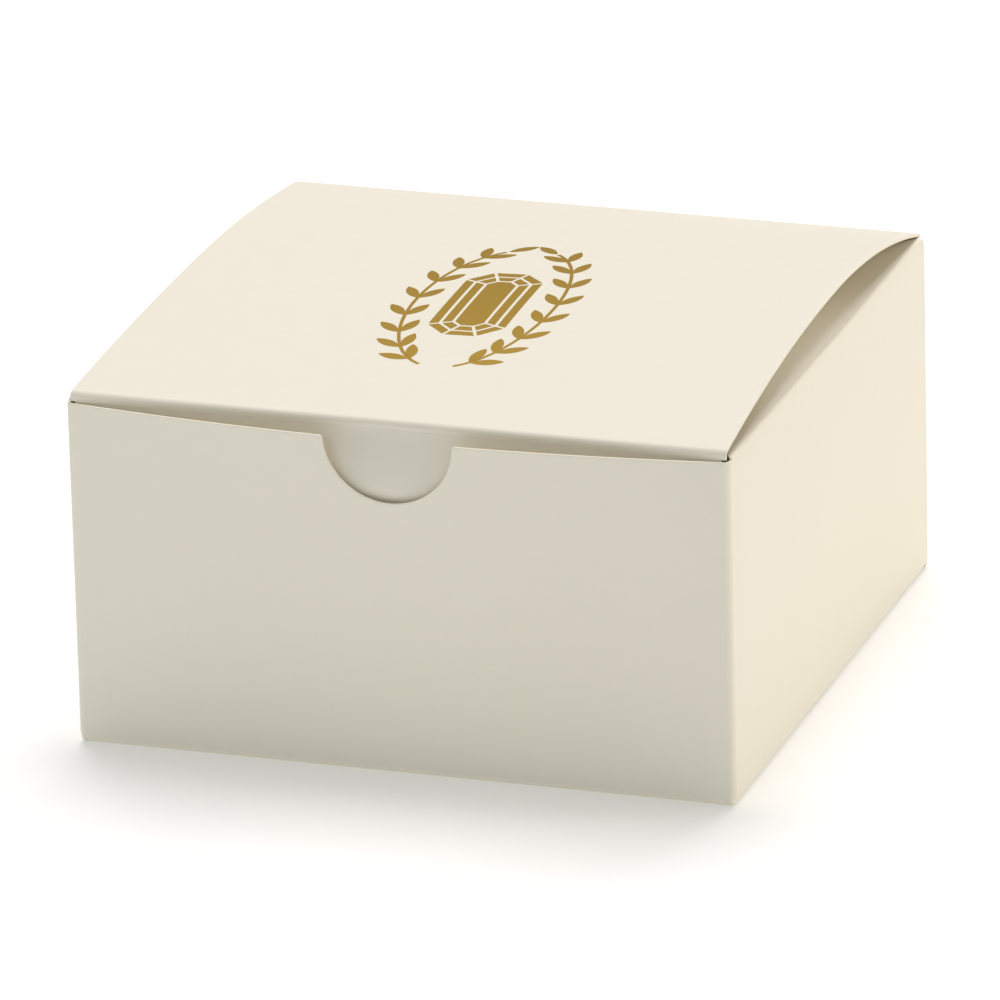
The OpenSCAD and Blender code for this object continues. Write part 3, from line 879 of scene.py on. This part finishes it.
def tuckFlap():
    # Stands behind the front wall; its free corners are quarter circles. At depth d below the fold it is
    # pushed forward by follow bow (1 - (x / halfW)^2) (1 - cos(pi d / reach)) / 2 and curls back by curl d^2
    w, r = tuckHalf, tuck["cornerR"]
    top = -tuck["drop"]
    side = np.linspace(top, r - tuck["length"], tuck["sideSteps"])
    turn = np.linspace(np.pi, 1.5 * np.pi, tuck["cornerSteps"])[1:]
    level = np.linspace(r - w, 0, tuck["endSteps"] // 2)[1:]
    line = np.concatenate([
        np.stack([np.full_like(side, -w), side], 1),
        np.stack([np.cos(turn), np.sin(turn)], 1) * r + [r - w, r - tuck["length"]],
        np.stack([level, np.full_like(level, -tuck["length"])], 1)])
    line = np.concatenate([line, line[-2::-1] * [-1, 1]])
    reach = w * tuck["spread"]
    flat, distance = ruledBoard(line, -1, -reach, reach, top, tuck["rows"])
    origin = foldAxis - (foldR - board / 2) * yAxis
    mid = origin + flat[..., :1] * xAxis + flat[..., 1:] * zAxis
    part = sheet(mid[None], -yAxis, shoulder(distance, board), rimOf(distance))
    x, depth = part["points"][:, 0], foldAxis[2] - part["points"][:, 2]
    share = (1 - np.cos(np.pi * np.clip(depth / tuck["reach"], 0, 1))) / 2
    push = tuck["follow"] * wall["bow"] * (1 - (x / halfW) ** 2) * share - tuck["curl"] * depth ** 2
    part["points"] = part["points"] - push[:, None] * yAxis
    return boardPiece("tuck_flap", part)


def dustFlap(sign):
    # Springs up a little from level; its ends slant in towards the free edge, with a short shoulder at
    # the fold
    axis = flapAxis * [sign, 1, 1]
    away = -sign * xAxis * math.cos(dustTilt) + zAxis * math.sin(dustTilt)
    length, out = dust["length"], dust["shoulder"]
    back = dustEnd - dust["backSlant"] * out / length
    front = -dustEnd + dust["frontSlant"] * out / length
    corners = [[flapFront, 0], [flapBack[sign], 0], [back, out], [dustEnd - dust["backSlant"], length],
               [-dustEnd + dust["frontSlant"], length], [front, out]]
    r, small = dust["cornerR"], dust["shoulderR"]
    outline = rounded(corners, [0, 0, small, r, r, small], [True] * len(corners), dust["cornerSteps"])[0]
    outline = np.concatenate([outline[1:], outline[:1]])
    run = np.append(0, np.cumsum(np.linalg.norm(np.diff(outline, axis=0), axis=1)))
    even = np.unique(np.concatenate([run, np.linspace(0, run[-1], dust["columns"])]))
    even = even[np.append(True, np.diff(even) > dust["least"])]
    even[-1] = run[-1]
    line = np.stack([np.interp(even, run, outline[:, 0]), np.interp(even, run, outline[:, 1])], 1)
    flat, distance = ruledBoard(line, -1, flapBack[sign], flapFront, 0, dust["rows"])
    flat[..., 1] = np.maximum(flat[..., 1], 0)
    normal = sign * np.cross(yAxis, away)
    mid = axis + normal * board / 2 + flat[..., :1] * yAxis + flat[..., 1:] * away
    part = sheet(mid[None], normal, shoulder(distance, board), rimOf(distance))
    # Sprung up beside its fold by rise (1 - ((y - c) / reach)^2)^2 (1 - exp(-d / run))
    depth = np.maximum(halfW - board - sign * part["points"][:, 0], 0)
    across = (part["points"][:, 1] - dust["springY"]) / dust["springReach"]
    share = np.maximum(1 - across ** 2, 0) ** 2 * (1 - np.exp(-depth / dust["springRun"]))
    part["points"] = part["points"] + dust["spring"][sign] * share[:, None] * zAxis
    side = sideName[sign]
    return boardPiece(side + "_dust_flap", part)


lidCrease()
tuckCrease()
flapCrease(1)
flapCrease(-1)
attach(tuckFlap(), "tuck_flap")
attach(dustFlap(1), "right_dust_flap")
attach(dustFlap(-1), "left_dust_flap")
print("lid, flaps and folds made")

# Foil mark: two sprigs round a step-cut gem, laid on the lid
mark = {"y": -8 * mm, "a": 11 * mm, "b": 24.5 * mm, "from": 14.0, "to": 158.0, "bare": 10.0,
        "pairs": 8, "leafLen": 5 * mm, "leafW": 1.8 * mm, "leafTurn": 32.0, "stand": 0.45 * mm,
        "stemW": 0.55 * mm, "gemW": 12.5 * mm, "gemH": 26 * mm, "gap": 0.5 * mm,
        "steps": (1, 0.7, 0.4), "cornerCut": 0.286, "foil": 0.04 * mm, "sunk": 0.01 * mm,
        "stemSteps": 60, "stemAcross": 3, "leafSteps": 15, "leafAcross": 5, "leafTip": 0.02 * mm,
        "facetSteps": (13, 5), "tableSteps": (7, 13)}


def foilPatches(flat):
    # Thin film over the lid's outer face: lid middle + n (T/2 + f/2 - sunk)
    base, normal = onLid(flat[..., 0], flat[..., 1] + mark["y"])
    lift = board / 2 + mark["foil"] / 2 - mark["sunk"]
    return sheet(base + normal * lift, normal, mark["foil"] / 2)


def oval(t):
    # (a sin t, -b cos t) and its heading
    t = np.radians(t)
    place = np.stack([mark["a"] * np.sin(t), -mark["b"] * np.cos(t)], -1)
    return place, np.arctan2(mark["b"] * np.sin(t), mark["a"] * np.cos(t))


def sprig(mirror):
    # Stem along the oval, with pairs of leaves and one more at its tip
    place, heading = oval(np.linspace(mark["from"], mark["to"], mark["stemSteps"]))
    across = np.stack([-np.sin(heading), np.cos(heading)], -1)
    q = np.linspace(-0.5, 0.5, mark["stemAcross"]) * mark["stemW"]
    stem = place[None, :, None] + q[:, None] * across[None, :, None]
    first = mark["from"] + mark["bare"]
    t = first + (mark["to"] - first) * np.arange(mark["pairs"]) / mark["pairs"]
    t = np.concatenate([t, t, [mark["to"]]])
    lean = np.repeat([1, -1, 0], [mark["pairs"], mark["pairs"], 1]) * math.radians(mark["leafTurn"])
    place, heading = oval(t)
    heading = heading + lean
    # Leaf: half width sqrt(r^2 - (s - L/2)^2) - (r - w/2) + tip of two equal circles,
    # r = (L^2 + w^2) / (4 w)
    length, width = mark["leafLen"], mark["leafW"]
    r = (length ** 2 + width ** 2) / (4 * width)
    s = eased(0, length, mark["leafSteps"])
    half = np.sqrt(r ** 2 - (s - length / 2) ** 2) - (r - width / 2) + mark["leafTip"]
    along = mark["stand"] + s[None, :, None]
    side = half[None, :, None] * np.linspace(-1, 1, mark["leafAcross"])[None, None]
    along = np.broadcast_to(along, side.shape)
    c, sn = np.cos(heading)[:, None, None], np.sin(heading)[:, None, None]
    leaf = np.stack([place[:, None, None, 0] + along * c - side * sn,
                     place[:, None, None, 1] + along * sn + side * c], -1)
    return [foilPatches(stem * [mirror, 1]), foilPatches(leaf * [mirror, 1])]


def gemRing(k):
    # Rectangle with its corners cut at 45 degrees, counter-clockwise
    share = mark["steps"][k]
    w = mark["gemW"] * share / 2
    h = (mark["gemH"] - mark["gemW"] * (1 - share)) / 2
    c = mark["gemW"] * mark["cornerCut"] * share
    return np.array([[w, -h + c], [w, h - c], [w - c, h], [-w + c, h],
                     [-w, h - c], [-w, -h + c], [-w + c, -h], [w - c, -h]])


def gem():
    # Facets between neighbouring rings, each drawn in by half a gap and filled by p = bilinear(u, v), and
    # the table in the middle, whose width narrows by one for one along its corner cuts
    facets = []
    for k in range(len(mark["steps"]) - 1):
        outer, inner = gemRing(k), gemRing(k + 1)
        facets.append(np.stack([outer, np.roll(outer, -1, 0), np.roll(inner, -1, 0), inner], 1))
    facets = np.concatenate(facets)
    facets = drawnIn(facets, np.full(facets.shape[:2], mark["gap"] / 2))
    u = np.linspace(0, 1, mark["facetSteps"][0])[None, :, None, None]
    v = np.linspace(0, 1, mark["facetSteps"][1])[None, None, :, None]
    a, b, c, d = (facets[:, i][:, None, None] for i in range(4))
    flat = (a * (1 - u) + b * u) * (1 - v) + (d * (1 - u) + c * u) * v
    ring = gemRing(len(mark["steps"]) - 1)
    w, h = ring[0, 0] - mark["gap"] / 2, ring[2, 1] - mark["gap"] / 2
    # A cut drawn in by half a gap is shorter by gap (1 - sqrt(1/2)) along each side
    cutLen = h - ring[1, 1] + mark["gap"] * (0.5 - (1 - math.sqrt(0.5)))
    across, along = mark["tableSteps"]
    y = np.sort(np.concatenate([np.linspace(-h, h, along), [h - cutLen, -h + cutLen]]))
    halfWidth = w - np.maximum(0, np.abs(y) - (h - cutLen))
    table = np.stack([np.linspace(-1, 1, across)[:, None] * halfWidth,
                      np.broadcast_to(y, (across, len(y)))], -1)
    return [foilPatches(flat), foilPatches(table[None])]


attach(makePiece("foil_wreath_film", sprig(1) + sprig(-1), foilPaint, ["foil_wreath"]), "lid")
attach(makePiece("foil_gem_film", gem(), foilPaint, ["foil_gem"]), "lid")
print("foil made")

# Paper floor a little below the foot; lift is its own faint glow
stage = {"floor": 6.0, "stations": 3, "drop": 0.02 * mm, "paper": (0.95, 0.95, 0.95, 1), "lift": 0.20,
         "speck": 2 * mm, "speckTint": 0.01, "roughness": 0.9, "specular": 0.1}


def makeFloor():
    grid = np.linspace(-stage["floor"] / 2, stage["floor"] / 2, stage["stations"])
    x, y = np.meshgrid(grid, grid, indexing="ij")
    mesh = bpy.data.meshes.new("floor")
    index = np.arange(x.size).reshape(x.shape)
    faces = quads(index[:-1, :-1], index[1:, :-1], index[1:, 1:], index[:-1, 1:])
    points = np.stack([x.ravel(), y.ravel(), np.full(x.size, cadLow[2] - stage["drop"])], 1)
    mesh.from_pydata(points.tolist(), [], faces.tolist())
    made, wire = newMaterial("studio_floor")
    speck = wire.noise(stage["speck"], 3.0)
    finishMaterial(wire, {
        "Base Color": (1 + speck * stage["speckTint"]).shade(stage["paper"]),
        "Roughness": stage["roughness"],
        "Specular IOR Level": stage["specular"],
        "Emission Color": stage["paper"],
        "Emission Strength": stage["lift"]})
    mesh.materials.append(made)
    addObject("floor", mesh)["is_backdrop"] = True


# Strength and colour of the sky on the object and of the white behind it, then for each lamp its place and
# size in metres, its watts and its colour
light = {
    "sky": 0.25,
    "skyColour": (0.98, 0.99, 1, 1),
    "white": 1.0,
    "whiteColour": (1, 1, 1, 1),
    "lamps": {
        "side": ((1.4, 0.3, 0.46), 0.9, 6.2, (1.0, 0.88, 0.70)),
        "top": ((-0.1, 0.5, 1.4), 1.0, 17.8, (1.0, 0.96, 0.95)),
        "fill": ((-0.5, -0.35, 0.15), 0.3, 0.16, (0.96, 1.0, 0.95)),
        "front": ((-0.35, -1.3, 0.7), 0.8, 1.75, (0.95, 1.0, 0.94))},
}


def areaLight(name, place, size, power, colour):
    # Square lamp that looks at the middle of the box
    data = bpy.data.lights.new(name, "AREA")
    data.shape = "SQUARE"
    data.size = size
    data.energy = power
    data.color = colour
    lamp = addObject(name, data)
    lamp.location = place
    lamp.rotation_mode = "QUATERNION"
    heading = Vector((0, 0, cadHigh[2] / 2)) - Vector(place)
    lamp.rotation_quaternion = heading.to_track_quat("-Z", "Y")


def makeWorld():
    # White to the camera, soft grey light on the object
    world = bpy.data.worlds.new("studio")
    world.use_nodes = True
    tree = world.node_tree
    tree.nodes.clear()
    wire = Wire(tree)
    seen = wire.node("ShaderNodeLightPath", out=0)
    soft = wire.node("ShaderNodeBackground", {}, {"Color": light["skyColour"], "Strength": light["sky"]})
    white = wire.node("ShaderNodeBackground", {},
                      {"Color": light["whiteColour"], "Strength": light["white"]})
    both = wire.node("ShaderNodeMixShader", {}, {0: seen, 1: soft, 2: white})
    wire.node("ShaderNodeOutputWorld", {}, {"Surface": both})
    bpy.context.scene.world = world


# Pin-hole at a fixed azimuth and elevation, turned a little about its own line of sight
view = {"focal": 11161.9, "frame": 1000, "azimuth": 18.671, "elevation": 20.645, "roll": -1.491,
        "across": -1.810 * mm, "up": 23.144 * mm, "distance": 1696.72 * mm, "sensor": 36, "clip": (0.1, 20)}


def makeCamera():
    a, e, r = (math.radians(view[key]) for key in ("azimuth", "elevation", "roll"))
    back = Vector((math.sin(a) * math.cos(e), -math.cos(a) * math.cos(e), math.sin(e)))
    right = Vector((0, 0, 1)).cross(back).normalized()
    up = back.cross(right)
    turnedRight = right * math.cos(r) + up * math.sin(r)
    turnedUp = up * math.cos(r) - right * math.sin(r)
    data = bpy.data.cameras.new("camera")
    data.sensor_width = view["sensor"]
    data.lens = view["focal"] * data.sensor_width / view["frame"]
    data.clip_start, data.clip_end = view["clip"]
    camera = addObject("camera", data)
    turn = Matrix((turnedRight, turnedUp, back)).transposed()
    camera.matrix_world = (Matrix.Translation(back * view["distance"] + turnedRight * view["across"]
                                              + turnedUp * view["up"]) @ turn.to_4x4())
    bpy.context.scene.camera = camera


makeFloor()
makeWorld()
for lampName, lamp in light["lamps"].items():
    areaLight(lampName, *lamp)
makeCamera()
bpy.context.scene.view_settings.view_transform = "Standard"
print("stage made")
